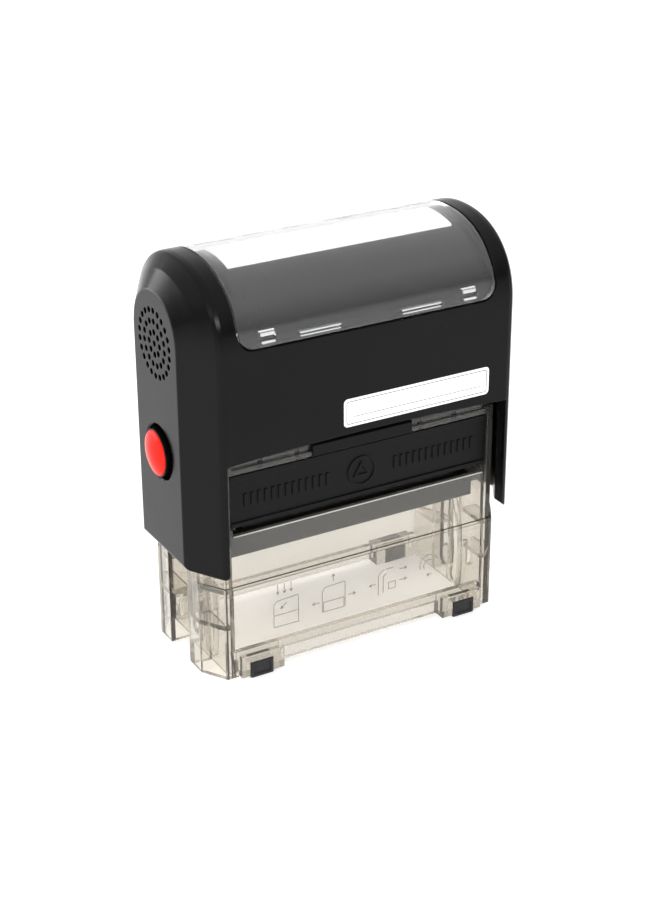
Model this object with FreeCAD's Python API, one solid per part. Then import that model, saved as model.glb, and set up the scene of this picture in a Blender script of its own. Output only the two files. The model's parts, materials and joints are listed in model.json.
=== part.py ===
"""Self inking stamp with a rectangular imprint: one STEP file per physical piece.

Frame: origin at the centre of the footprint on the table, +X to the stamp's right, +Y to its rear,
+Z up. The stamp is at rest, cover up. All lengths are in millimetres.
"""
import FreeCAD, Part
import math
import os

from FreeCAD import Vector

# ---- driving dimensions: cover ----
COVER_HALF_WIDTH = 32.0
COVER_HALF_DEPTH = 15.3
COVER_TOP_Z = 73.2
COVER_BOTTOM_Z = 21.2
ARCH_SPRING_Z = 59.6        # where the straight sides of the cover turn into the domed top
ARCH_EXPONENT = 2.2         # 2 is an ellipse, higher is squarer
CREASE_X = 27.7             # where the flat front meets the chamfered cheek
CREASE_EASE = 0.8
CROWN_SWELL = 0.35          # the crown's taper bulges by this much halfway
END_HALF_DEPTH = 8.0
END_TOP_Z = 67.9
COVER_WALL = 1.7
COVER_END_WALL = 1.9
PANEL_HALF_WIDTH = 27.04
PANEL_EDGE_Z = 42.6         # lower edge of the front panel at its middle
PANEL_EDGE_SAG = 0.8
CHEEK_CORNER = 0.8          # rounding of the cheeks' lower corners
CROWN_CAVITY_Z = 60.7       # above this the cover's wall is thick enough to hold the window recess
CROWN_WALL = 3.8

# ---- driving dimensions: index window and card ----
RECESS_HALF_WIDTH = 24.5
RECESS_BOTTOM_Z = 60.85
RECESS_DEPTH = 2.3
RECESS_CORNER = 3.0
WINDOW_GAP = 0.4
WINDOW_THICK = 1.1
CARD_THICK = 0.28
CARD_HALF_WIDTH = 21.2
CARD_Y = (-5.4, 8.2)        # the card lies a little to the rear
BED_HALF_WIDTH = 22.4       # raised bed under the card
BED_HALF_DEPTH = 9.4

# ---- driving dimensions: press, axle and turning holder ----
STROKE = 18.9
AXLE_Z = 23.4
AXLE_R = 1.5
BEARING_CLEARANCE = 0.05
SLOT_CLEARANCE = 0.15
DIE_FACE_OFFSET = 4.5       # imprint face above the axle at rest, below it when pressed
CAM_ORBIT = 4.2
CAM_PHASE = math.radians(30.0)
CAM_PIN_R = 0.9
CAM_GROOVE_HALF = 1.1
CAM_RIB = 0.9

# ---- driving dimensions: turning holder, heights above the axle ----
HOLDER_HALF_X = 24.0
HOLDER_HALF_Y = 9.3
HOLDER_TOP = 2.6
CUSHION_TOP = 3.4
PLATE_TOP = 3.9

# ---- driving dimensions: clear base ----
BASE_BOTTOM_Z = 0.4
BASE_WALL = 1.2
SKIRT_TOP_Z = 17.84
SKIRT_BOTTOM_Z = 1.4
SKIRT_HALF_DEPTH = 12.6
FRONT_WALL_TOP_Z = 27.1      # the thinner wall above the skirt, front and rear
TOWER_HALF_DEPTH = 12.2
TOWER_CORNER_X = 26.5
TOWER_END_X = 29.6
TOWER_END_Y = 7.5
CHANNEL_HALF = 3.73         # open channel in each end, where the cover's leg runs
CROSS_WALL_Z = (9.4, 10.3)  # thin cross wall inside each tower
END_WALL_IN = 24.9
END_WALL_OUT = 25.6
DECK_BOTTOM_Z = 38.5
DECK_TOP_Z = 41.5
RAIL_Z = (27.65, 28.6)       # rails that carry the cartridge
CAM_RIB_X = 24.2
CATCH_X = (-9.7, 9.7)       # black lug in the front of the deck
CATCH_Y = (-12.4, -10.8)
CATCH_Z = (38.5, 41.3)
LEG_INNER_X = 27.1
LEG_HALF = 3.4
LEG_TOP_Z = 45.0

# ---- driving dimensions: ink cartridge ----
TRAY_Z = (28.65, 38.23)
TRAY_HALF_X = 24.4
TRAY_REAR_Y = 10.9
TRAY_FRONT_Y = -11.0
GRIP_FRONT_Y = -12.2
GRIP_BOTTOM_Z = 28.85
GRIP_HALF_X = 25.1
PAD_HALF_X = 22.3
PAD_HALF_Y = 9.3
PAD_PROUD = 0.2
PAD_FIT = 0.1
WEB_HALF = 0.45

# ---- driving dimensions: lock buttons, feet, return spring ----
BUTTON_Z = 39.6
BUTTON_R = 3.95
BUTTON_HOLE_R = 4.85
BUTTON_PROUD = 1.75
BUTTON_CROWN = 0.9
BUTTON_CAP_IN_X = 31.3
TONGUE_HALF = (2.0, 0.9)
TONGUE_TIP_X = 26.75
POCKET_R = 2.9
POCKET_FLOOR_X = 28.3
LATCH_DROP = 3.0            # cover travel at which the tongue catches
CLIP_X = (16.2, 24.4)
CLIP_Y = (10.1, 13.4)
CLIP_TOP_Z = 4.4
FOOT_X = (18.4, 22.8)
FOOT_Y = (10.8, 13.65)
FOOT_TOP_Z = 3.0
SPRING_R = 6.0
SPRING_WIRE_R = 0.5
SPRING_TOP_Z = 67.4
SPRING_TURNS = 6


# ---------------------------------------------------------------- shape helpers
def box(x, y, z):
    """A box from three (low, high) pairs, given in either order."""
    x, y, z = sorted(x), sorted(y), sorted(z)
    return Part.makeBox(x[1] - x[0], y[1] - y[0], z[1] - z[0], Vector(x[0], y[0], z[0]))


def rod_x(radius, x0, x1, y, z):
    """A cylinder along X."""
    low = min(x0, x1)
    return Part.makeCylinder(radius, abs(x1 - x0), Vector(low, y, z), Vector(1, 0, 0))


def prism_z(outline, z0, z1):
    """A plan outline, a list of (x, y), extruded from z0 to z1."""
    points = [Vector(x, y, z0) for x, y in outline]
    wire = Part.makePolygon(points + points[:1])
    return Part.Face(wire).extrude(Vector(0, 0, z1 - z0))


def prism_y(outline, y0, y1):
    """A front-view outline, a list of (x, z), extruded from y0 to y1."""
    points = [Vector(x, y0, z) for x, z in outline]
    wire = Part.makePolygon(points + points[:1])
    return Part.Face(wire).extrude(Vector(0, y1 - y0, 0))


def mirror_x(shape):
    return shape.mirror(Vector(0, 0, 0), Vector(1, 0, 0))


def mirror_y(shape):
    return shape.mirror(Vector(0, 0, 0), Vector(0, 1, 0))


def both_x(shape):
    """The shape and its mirror image in the YZ plane."""
    return [shape, mirror_x(shape)]


def both_y(shape):
    return [shape, mirror_y(shape)]


def four_ways(shape):
    return [copy for half in both_x(shape) for copy in both_y(half)]


def joined(shapes):
    """One solid from overlapping or touching shapes."""
    result = shapes[0].fuse(shapes[1:]) if len(shapes) > 1 else shapes[0]
    result = result.removeSplitter()
    return result.Solids[0] if len(result.Solids) == 1 else result


def softened(shape, radius, wanted):
    """The shape with the edges that wanted(edge) picks rounded."""
    edges = [edge for edge in shape.Edges if wanted(edge)]
    return shape.makeFillet(radius, edges)


# ---------------------------------------------------------------- domed cover profile
def arch_points(half_depth, spring_z, top_z):
    """Points of the domed top, from the front spring line over the top to the rear one."""
    steps = 24
    power = 2.0 / ARCH_EXPONENT
    points = []
    for i in range(steps + 1):
        angle = math.pi * i / steps
        across, up = -math.cos(angle), math.sin(angle)
        y = half_depth * math.copysign(abs(across) ** power, across)
        z = spring_z + (top_z - spring_z) * max(up, 0.0) ** power
        points.append((y, z))
    return points


def arch_wire(x, half_depth, spring_z, top_z, bottom_z):
    """The cover's closed side profile in the plane at x: two straight sides under a domed top."""
    crown = [Vector(x, y, z) for y, z in arch_points(half_depth, spring_z, top_z)]
    curve = Part.BSplineCurve()
    up, down = Vector(0, 0, 1), Vector(0, 0, -1)
    curve.interpolate(Points=crown, InitialTangent=up, FinalTangent=down)
    front_foot = Vector(x, -half_depth, bottom_z)
    rear_foot = Vector(x, half_depth, bottom_z)
    edges = [
        Part.makeLine(front_foot, crown[0]),
        curve.toShape(),
        Part.makeLine(crown[-1], rear_foot),
        Part.makeLine(rear_foot, front_foot),
    ]
    return Part.Wire(edges)


def arch_prism(half_width, offset):
    """The middle of the cover's outer form, its surface moved inwards by offset."""
    wire = arch_wire(
        -half_width,
        COVER_HALF_DEPTH - offset,
        ARCH_SPRING_Z,
        COVER_TOP_Z - offset,
        ARCH_SPRING_Z - 10.0,
    )
    return Part.Face(wire).extrude(Vector(2 * half_width, 0, 0))


def arch_band(half_width, outer, inner):
    """A curved sheet between two offsets below the cover's domed top."""
    return arch_prism(half_width, outer).cut(arch_prism(half_width + 1.0, inner))


def window_slab(half_width, bottom_z, corner):
    """Everything above bottom_z with round lower corners, seen from the front."""
    slab = box((-half_width, half_width), (-20, 20), (bottom_z, COVER_TOP_Z + 5.0))

    def lower_corner(edge):
        centre = edge.CenterOfMass
        return abs(abs(centre.x) - half_width) < 0.01 and abs(centre.z - bottom_z) < 0.01

    return softened(slab, corner, lambda e: lower_corner(e) and abs(e.CenterOfMass.y) < 0.01)


# ---------------------------------------------------------------- cover
def cover_outer():
    """The cover's outer form, solid: a domed body whose ends taper to smaller domed faces.

    The crease between body and taper is eased by two narrow strips, and the taper's crown swells a little."""
    taper = COVER_HALF_WIDTH - CREASE_X
    depth_slope = (COVER_HALF_DEPTH - END_HALF_DEPTH) / taper
    top_slope = (COVER_TOP_Z - END_TOP_Z) / taper
    eased = CREASE_EASE / 2
    right = [
        (CREASE_X - CREASE_EASE, COVER_HALF_DEPTH, COVER_TOP_Z),
        (CREASE_X - 0.1, COVER_HALF_DEPTH - 0.18, COVER_TOP_Z - 0.13),
        (CREASE_X + eased, COVER_HALF_DEPTH - eased * depth_slope, COVER_TOP_Z - eased * top_slope),
        (
            CREASE_X + taper / 2,
            COVER_HALF_DEPTH - taper / 2 * depth_slope,
            COVER_TOP_Z - taper / 2 * top_slope + CROWN_SWELL,
        ),
        (COVER_HALF_WIDTH, END_HALF_DEPTH, END_TOP_Z),
    ]
    sections = [(-x, depth, top) for x, depth, top in reversed(right)] + right
    wires = [arch_wire(x, depth, ARCH_SPRING_Z, top, COVER_BOTTOM_Z) for x, depth, top in sections]
    return Part.makeLoft(wires, True, True)


def cover_cavity():
    """The space inside the cover: an eight-sided shaft with a smaller domed space above it."""
    end_x = COVER_HALF_WIDTH - COVER_END_WALL
    side_y = COVER_HALF_DEPTH - COVER_WALL
    quarter = [(26.6, side_y), (end_x, 7.7)]
    outline = quarter + [(x, -y) for x, y in reversed(quarter)]
    outline += [(-x, -y) for x, y in quarter] + [(-x, y) for x, y in reversed(quarter)]
    shaft = prism_z(outline, COVER_BOTTOM_Z - 5.0, CROWN_CAVITY_Z)
    full = (COVER_HALF_DEPTH - CROWN_WALL, COVER_TOP_Z - CROWN_WALL)
    small = (END_HALF_DEPTH - 2.2, END_TOP_Z - 2.6)
    sections = [(-29.8, small), (-25.9, full), (25.9, full), (29.8, small)]
    wires = [arch_wire(x, size[0], CROWN_CAVITY_Z, size[1], CROWN_CAVITY_Z - 1.0) for x, size in sections]
    return shaft.fuse(Part.makeLoft(wires, True, True))


def panel_opening():
    """The space between the cheeks below the front and rear panels, with a gently arched top."""
    corner_z = PANEL_EDGE_Z - PANEL_EDGE_SAG
    left, right = Vector(-PANEL_HALF_WIDTH, -20, corner_z), Vector(PANEL_HALF_WIDTH, -20, corner_z)
    top = Part.Arc(left, Vector(0, -20, PANEL_EDGE_Z), right).toShape()
    right_edges, right_low = opening_side(1, right)
    left_edges, left_low = opening_side(-1, left)
    sill = Part.makeLine(right_low, left_low)
    outline = Part.Wire([top] + right_edges + [sill] + left_edges[::-1])
    return Part.Face(outline).extrude(Vector(0, 40, 0))


def opening_side(side, start):
    """One side of the panel opening, down from start, flared to round the cheek's lower corner."""
    middle_x, middle_z = PANEL_HALF_WIDTH + CHEEK_CORNER, COVER_BOTTOM_Z + CHEEK_CORNER
    step = CHEEK_CORNER * math.sqrt(0.5)
    upper = Vector(side * PANEL_HALF_WIDTH, -20, middle_z)
    half_way = Vector(side * (middle_x - step), -20, middle_z - step)
    mouth = Vector(side * middle_x, -20, COVER_BOTTOM_Z)
    low = Vector(side * middle_x, -20, COVER_BOTTOM_Z - 5.0)
    flare = Part.Arc(upper, half_way, mouth).toShape()
    return [Part.makeLine(start, upper), flare, Part.makeLine(mouth, low)], low


def dot_rings():
    """Round recesses in rings on the right end face."""
    centre_z = 59.0
    dot_r, depth = 0.55, 0.55
    rings = [(0.0, 1), (1.95, 8), (3.8, 15), (5.65, 22)]
    dots = []
    for ring_r, count in rings:
        for i in range(count):
            angle = 2 * math.pi * i / count
            y, z = ring_r * math.sin(angle), centre_z + ring_r * math.cos(angle)
            dots.append(rod_x(dot_r, COVER_HALF_WIDTH - depth, COVER_HALF_WIDTH + 1.0, y, z))
    return dots


def cover_leg():
    """The right inner leg: it hangs in the base's end channel and carries the axle and the button."""
    outer_x = COVER_HALF_WIDTH - COVER_END_WALL + 0.3
    leg = box((LEG_INNER_X, outer_x), (-LEG_HALF, LEG_HALF), (COVER_BOTTOM_Z + 0.1, LEG_TOP_Z))
    bearing = rod_x(AXLE_R + BEARING_CLEARANCE, LEG_INNER_X - 1.0, 29.7, 0, AXLE_Z)
    return leg.cut(bearing)


def button_hole():
    """The stepped hole for the right button, with a bevelled mouth and a slot for its tongue."""
    mouth_depth = 0.25
    mouth = Part.makeCone(
        BUTTON_HOLE_R,
        BUTTON_HOLE_R + mouth_depth,
        mouth_depth,
        Vector(COVER_HALF_WIDTH - mouth_depth, 0, BUTTON_Z),
        Vector(1, 0, 0),
    )
    hole = rod_x(BUTTON_HOLE_R, COVER_HALF_WIDTH - COVER_END_WALL, COVER_HALF_WIDTH + 1.0, 0, BUTTON_Z)
    pocket = rod_x(POCKET_R, POCKET_FLOOR_X, COVER_HALF_WIDTH, 0, BUTTON_Z)
    half_y, half_z = TONGUE_HALF[0] + 0.15, TONGUE_HALF[1] + 0.15
    slot = box((LEG_INNER_X - 1.0, COVER_HALF_WIDTH), (-half_y, half_y), (BUTTON_Z - half_z, BUTTON_Z + half_z))
    return [mouth, hole, pocket, slot]


def spring_seat():
    """The flat seat and boss under the cover's top that hold the return spring."""
    seat = Part.makeCylinder(7.4, 1.7, Vector(0, 0, SPRING_TOP_Z))
    boss = Part.makeCylinder(SPRING_R - SPRING_WIRE_R - 0.5, 3.0, Vector(0, 0, SPRING_TOP_Z - 2.8))
    return [seat, boss]


def card_bed():
    """The raised bed on the recess floor, just under the card."""
    sheet = arch_band(BED_HALF_WIDTH, WINDOW_THICK + CARD_THICK + 0.1, RECESS_DEPTH + 0.1)
    return sheet.common(box((-30, 30), (-BED_HALF_DEPTH, BED_HALF_DEPTH), (60, 80)))


def cover_shell():
    body = cover_outer()
    end_ring = lambda edge: abs(abs(edge.CenterOfMass.x) - COVER_HALF_WIDTH) < 0.01
    body = softened(body, 0.7, end_ring)
    body = body.cut([cover_cavity(), panel_opening()])
    recess = arch_band(RECESS_HALF_WIDTH, -2.0, RECESS_DEPTH)
    recess = recess.common(window_slab(RECESS_HALF_WIDTH, RECESS_BOTTOM_Z, RECESS_CORNER))
    body = body.cut(recess)
    body = body.fuse(both_x(cover_leg()) + spring_seat() + [card_bed()])
    holes = [copy for shape in button_hole() + dot_rings() for copy in both_x(shape)]
    return joined([body.cut(holes)])


def index_window():
    """Clear curved window, flush with the domed top, with short and long slots along its lower edges."""
    half_width = RECESS_HALF_WIDTH - WINDOW_GAP
    bottom_z = RECESS_BOTTOM_Z + WINDOW_GAP
    sheet = arch_band(half_width, 0.0, WINDOW_THICK)
    sheet = sheet.common(window_slab(half_width, bottom_z, RECESS_CORNER - WINDOW_GAP))
    short_slot = box((17.65, 20.45), (-20, 20), (61.75, 63.6))
    long_slot = box((5.75, 13.4), (-20, 20), (61.75, 62.45))
    return joined([sheet.cut(both_x(short_slot) + both_x(long_slot))])


def index_card():
    """Blank card held between the window and its bed."""
    top = WINDOW_THICK + 0.05
    sheet = arch_band(CARD_HALF_WIDTH, top, top + CARD_THICK)
    return joined([sheet.common(box((-30, 30), CARD_Y, (60, 80)))])


# ---------------------------------------------------------------- lock buttons
def lock_button():
    """The right button: a domed cap on a flat tongue with two small snap barbs."""
    dome_x = COVER_HALF_WIDTH + BUTTON_PROUD
    sphere_r = (BUTTON_R ** 2 + BUTTON_CROWN ** 2) / (2 * BUTTON_CROWN)
    barrel = rod_x(BUTTON_R, BUTTON_CAP_IN_X, dome_x, 0, BUTTON_Z)
    cap = barrel.common(Part.makeSphere(sphere_r, Vector(dome_x - sphere_r, 0, BUTTON_Z)))
    rim_x = dome_x - BUTTON_CROWN
    cap = softened(cap, 0.4, lambda e: abs(e.BoundBox.XMin - rim_x) < 0.01 and abs(e.BoundBox.XMax - rim_x) < 0.01)
    half_y, half_z = TONGUE_HALF
    reach_z = (BUTTON_Z - half_z, BUTTON_Z + half_z)
    tongue = box((TONGUE_TIP_X, BUTTON_CAP_IN_X + 0.2), (-half_y, half_y), reach_z)
    barb = box((TONGUE_TIP_X, LEG_INNER_X - 0.05), (half_y - 0.1, half_y + 0.6), reach_z)
    return joined([cap, tongue] + both_y(barb))


def button_spring():
    """Small coil behind the right button."""
    gap = 0.05
    length = BUTTON_CAP_IN_X - POCKET_FLOOR_X - 2 * gap
    coil = coil_z(2.55, 0.3, length, 3)
    coil.rotate(Vector(0, 0, 0), Vector(0, 1, 0), 90)
    coil.translate(Vector(POCKET_FLOOR_X + gap, 0, BUTTON_Z))
    return coil


def coil_z(radius, wire_r, length, turns):
    """A compression coil standing on z = 0 with its wire's outside filling the given length."""
    rise = length - 2 * wire_r
    helix = Part.makeHelix(rise / turns, rise, radius)
    section = Part.Wire(Part.makeCircle(wire_r, Vector(radius, 0, 0), Vector(0, 1, 0)))
    coil = Part.Wire(helix).makePipeShell([section], True, True)
    coil.translate(Vector(0, 0, wire_r))
    return coil


def return_spring():
    coil = coil_z(SPRING_R, SPRING_WIRE_R, SPRING_TOP_Z - DECK_TOP_Z - 0.04, SPRING_TURNS)
    coil.translate(Vector(0, 0, DECK_TOP_Z + 0.02))
    return coil


# ---------------------------------------------------------------- clear base
def tower():
    """The right front tower: a hollow post outside the end wall, open at the bottom, with one cross wall."""
    wall = 1.1
    outline = [
        (END_WALL_OUT, -CHANNEL_HALF),
        (TOWER_END_X, -CHANNEL_HALF),
        (TOWER_END_X, -TOWER_END_Y),
        (TOWER_CORNER_X, -TOWER_HALF_DEPTH),
        (END_WALL_IN, -TOWER_HALF_DEPTH),
        (END_WALL_IN, -CHANNEL_HALF),
    ]
    hollow = [
        (END_WALL_OUT, -CHANNEL_HALF - wall),
        (TOWER_END_X - wall, -CHANNEL_HALF - wall),
        (TOWER_END_X - wall, -TOWER_END_Y + 0.4),
        (TOWER_CORNER_X - 0.5, -TOWER_HALF_DEPTH + wall),
        (END_WALL_OUT, -TOWER_HALF_DEPTH + wall),
    ]
    post = prism_z(outline, BASE_BOTTOM_Z, DECK_BOTTOM_Z + 1.5)
    return post.cut([prism_z(hollow, 0, CROSS_WALL_Z[0]), prism_z(hollow, CROSS_WALL_Z[1], DECK_BOTTOM_Z)])


def skirt():
    """Right half of the front wall, thicker below, and its wrap around the right front tower."""
    front_wall = box((0, 26.0), (-SKIRT_HALF_DEPTH, -SKIRT_HALF_DEPTH + BASE_WALL), (SKIRT_BOTTOM_Z, SKIRT_TOP_Z))
    upper_wall = box((0, 26.0), (-TOWER_HALF_DEPTH, -TOWER_HALF_DEPTH + 1.1), (SKIRT_TOP_Z - 1.0, FRONT_WALL_TOP_Z))
    wrap_outline = [
        (24.6, -SKIRT_HALF_DEPTH),
        (TOWER_CORNER_X + 0.25, -SKIRT_HALF_DEPTH),
        (TOWER_END_X, -TOWER_END_Y - 0.5),
        (TOWER_END_X, -TOWER_END_Y + 0.2),
        (TOWER_CORNER_X - 0.3, -TOWER_HALF_DEPTH + 0.4),
        (24.6, -TOWER_HALF_DEPTH + 0.4),
    ]
    wrap = prism_z(wrap_outline, BASE_BOTTOM_Z, SKIRT_TOP_Z)
    inner_rib = box((0, END_WALL_IN + 0.1), (-11.5, -10.4), (3.2, 4.8))
    return [front_wall, upper_wall, wrap, inner_rib]


def foot_clip():
    """The raised clip at the right front corner that holds a rubber foot."""
    clip = box(CLIP_X, (-CLIP_Y[0], -CLIP_Y[1]), (BASE_BOTTOM_Z, CLIP_TOP_Z))
    gap = 0.05
    pocket_x = (FOOT_X[0] - gap, FOOT_X[1] + gap)
    pocket = box(pocket_x, (-FOOT_Y[0] + gap, -CLIP_Y[1] - 1.0), (0, FOOT_TOP_Z + gap))
    return clip.cut(pocket)


def end_wall():
    """The right end wall, with the axle slot, a rail for the cartridge and the latch ledge."""
    wall = box((END_WALL_IN, END_WALL_OUT), (-11.4, 11.4), (BASE_BOTTOM_Z, DECK_TOP_Z))
    half = AXLE_R + SLOT_CLEARANCE
    slot = box((END_WALL_IN - 5, END_WALL_OUT + 1), (-half, half), (AXLE_Z - STROKE, AXLE_Z))
    slot_ends = [rod_x(half, END_WALL_IN - 5, END_WALL_OUT + 1, 0, z) for z in (AXLE_Z, AXLE_Z - STROKE)]
    rail = box((23.7, END_WALL_IN + 0.1), (-TRAY_REAR_Y, TRAY_REAR_Y), RAIL_Z)
    ledge_top = BUTTON_Z - TONGUE_HALF[1] - 0.25
    ledge_bottom = BUTTON_Z - LATCH_DROP + TONGUE_HALF[1] + 0.1
    ledge = box((END_WALL_OUT - 0.1, TONGUE_TIP_X - 0.4), (-2.6, 2.6), (ledge_bottom, ledge_top))
    return wall.cut([slot] + slot_ends).fuse([rail, ledge]).fuse(cam_ribs())


def cam_pin_at(turn):
    """Centre (y, z) of the cam pin when the holder has turned by this angle."""
    drop = STROKE * turn / math.pi
    y = CAM_ORBIT * math.cos(turn + CAM_PHASE)
    z = AXLE_Z - drop + CAM_ORBIT * math.sin(turn + CAM_PHASE)
    return y, z


def cam_band(half_width, x0, x1):
    """A curved slot shape along the cam pin's path, as wide as twice half_width."""
    steps = 18
    left, right = [], []
    for i in range(steps + 1):
        turn = math.pi * i / steps
        y, z = cam_pin_at(turn)
        dy = -CAM_ORBIT * math.sin(turn + CAM_PHASE)
        dz = -STROKE / math.pi + CAM_ORBIT * math.cos(turn + CAM_PHASE)
        speed = math.hypot(dy, dz)
        shift_y, shift_z = -dz / speed * half_width, dy / speed * half_width
        left.append(Vector(x0, y + shift_y, z + shift_z))
        right.append(Vector(x0, y - shift_y, z - shift_z))
    sides = []
    for points in (left, list(reversed(right))):
        curve = Part.BSplineCurve()
        curve.interpolate(points)
        sides.append(curve.toShape())
    ends = [Part.makeLine(left[-1], right[-1]), Part.makeLine(right[0], left[0])]
    band = Part.Face(Part.Wire([sides[0], ends[0], sides[1], ends[1]])).extrude(Vector(x1 - x0, 0, 0))
    caps = [rod_x(half_width, x0, x1, *cam_pin_at(turn)) for turn in (0.0, math.pi)]
    return band.fuse(caps)


def cam_ribs():
    """Raised ribs on the right end wall that steer the cam pin, parted where the axle passes."""
    rib_x = CAM_RIB_X
    ribs = cam_band(CAM_GROOVE_HALF + CAM_RIB, rib_x, END_WALL_IN + 0.1)
    ribs = ribs.cut(cam_band(CAM_GROOVE_HALF, rib_x - 1.0, END_WALL_IN))
    half = AXLE_R + SLOT_CLEARANCE + 0.15
    axle_way = box((rib_x - 1, END_WALL_IN + 0.2), (-half, half), (AXLE_Z - STROKE - half, AXLE_Z + half))
    below_floor = box((rib_x - 1, END_WALL_IN + 1), (-10, 10), (-5, 1.0))
    return ribs.cut([axle_way, below_floor])


def pad_deck():
    """The roof over the cartridge, with front and rear lips and the lower seat of the return spring."""
    plate = box((-END_WALL_OUT, END_WALL_OUT), (-11.6, 11.6), (DECK_TOP_Z - 1.6, DECK_TOP_Z))
    web = box((-END_WALL_OUT, END_WALL_OUT), (-11.6, -10.8), (DECK_BOTTOM_Z + 0.4, DECK_TOP_Z))
    lip = box((-END_WALL_OUT, END_WALL_OUT), (-TOWER_HALF_DEPTH, -11.0), (DECK_BOTTOM_Z, DECK_BOTTOM_Z + 0.9))
    ribs = [box((x - 0.5, x + 0.5), (-11.2, 11.2), (DECK_BOTTOM_Z, DECK_TOP_Z - 1.0)) for x in (-19, -12, 12, 19)]
    boss = Part.makeCylinder(SPRING_R - SPRING_WIRE_R - 0.5, 2.3, Vector(0, 0, DECK_TOP_Z - 0.2))
    return [plate, boss] + both_y(web) + both_y(lip) + ribs


def rear_wall():
    """The wall behind the cartridge, with its push-out hole."""
    wall = box((-END_WALL_OUT, END_WALL_OUT), (11.0, TOWER_HALF_DEPTH), (FRONT_WALL_TOP_Z - 0.5, DECK_BOTTOM_Z + 0.5))
    return wall.cut(box((-12.5, 12.5), (10, 13), (30.2, 36.8)))


def base_frame():
    pieces = []
    for shape in [tower(), foot_clip()] + skirt():
        pieces += four_ways(shape)
    pieces += both_x(end_wall()) + pad_deck() + [rear_wall()]
    body = pieces[0].fuse(pieces[1:])
    grip_room = box((TRAY_HALF_X - 1.0, GRIP_HALF_X + 0.2), (-13, TRAY_FRONT_Y + 0.1), (RAIL_Z[1] - 0.1, DECK_BOTTOM_Z))
    catch_room = box(CATCH_X, CATCH_Y, CATCH_Z)
    lock_notch = box((27.1, 28.5), (-5.2, 5.2), (4.5, 9.5))
    clip_way = box((FOOT_X[0] - 0.05, FOOT_X[1] + 0.05), (-FOOT_Y[0] + 0.05, -14), (0, FOOT_TOP_Z + 0.05))
    cuts = both_x(grip_room) + both_x(lock_notch) + four_ways(clip_way) + [catch_room]
    return joined([body.cut(cuts)])


def pad_catch():
    """Black lug over the middle of the cartridge, bevelled along its upper front edge."""
    bevel = 0.9
    lug = box(CATCH_X, CATCH_Y, CATCH_Z)
    outline = [(CATCH_Y[0], CATCH_Z[1] - bevel), (CATCH_Y[0], CATCH_Z[1] + 0.1), (CATCH_Y[0] + bevel, CATCH_Z[1] + 0.1)]
    points = [Vector(CATCH_X[0] - 1, y - 0.01, z) for y, z in outline]
    corner = Part.Face(Part.makePolygon(points + points[:1])).extrude(Vector(30, 0, 0))
    return joined([lug.cut(corner)])


def rubber_foot():
    """The right front foot."""
    foot = box(FOOT_X, (-FOOT_Y[0], -FOOT_Y[1]), (0, FOOT_TOP_Z))
    lower_front = lambda e: e.CenterOfMass.z < 0.01 or e.CenterOfMass.y < -FOOT_Y[1] + 0.01
    return softened(foot, 0.25, lower_front)


# ---------------------------------------------------------------- ink cartridge
def ink_cartridge():
    """Reversible tray, open above and below, with a wide grip plate in front."""
    body = box((-TRAY_HALF_X, TRAY_HALF_X), (TRAY_FRONT_Y - 0.1, TRAY_REAR_Y), TRAY_Z)
    middle = (TRAY_Z[0] + TRAY_Z[1]) / 2
    room_x = (-PAD_HALF_X - PAD_FIT, PAD_HALF_X + PAD_FIT)
    room_y = (-PAD_HALF_Y - PAD_FIT, PAD_HALF_Y + PAD_FIT)
    lower = box(room_x, room_y, (TRAY_Z[0] - 1, middle - WEB_HALF))
    upper = box(room_x, room_y, (middle + WEB_HALF, TRAY_Z[1] + 1))
    plate = box((-GRIP_HALF_X, GRIP_HALF_X), (GRIP_FRONT_Y, TRAY_FRONT_Y), (GRIP_BOTTOM_Z, TRAY_Z[1]))
    sunk = box((-GRIP_HALF_X - 1, GRIP_HALF_X + 1), (GRIP_FRONT_Y - 1, GRIP_FRONT_Y + 0.3), (29.6, 37.3))
    return joined([body.cut([lower, upper]), plate.cut(sunk)] + grip_marks(middle))


def grip_marks(middle_z):
    """Raised marks on the grip plate: a ring with a triangle at the centre and a row of bars each side."""
    floor_y = GRIP_FRONT_Y + 0.32
    face_y = GRIP_FRONT_Y + 0.08
    ring_r, line = 2.75, 0.35
    forward = Vector(0, -1, 0)
    centre = Vector(0, floor_y, middle_z)
    height = floor_y - face_y
    ring = Part.makeCylinder(ring_r, height, centre, forward)
    ring = ring.cut(Part.makeCylinder(ring_r - line, height, centre, forward))
    marks = [ring]

    def triangle(size):
        tips = [math.radians(90 + 120 * i) for i in range(3)]
        return prism_y([(size * math.cos(a), middle_z + size * math.sin(a)) for a in tips], face_y, floor_y)

    marks.append(triangle(1.9).cut(triangle(1.2)))
    for i in range(13):
        x = 6.4 + 1.3 * i
        bar = box((x, x + 0.55), (face_y, floor_y), (middle_z - 1.15, middle_z + 1.15))
        marks += both_x(bar)
    return marks


def ink_pad(z0, z1):
    pad = box((-PAD_HALF_X, PAD_HALF_X), (-PAD_HALF_Y, PAD_HALF_Y), (z0, z1))
    return pad


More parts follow.
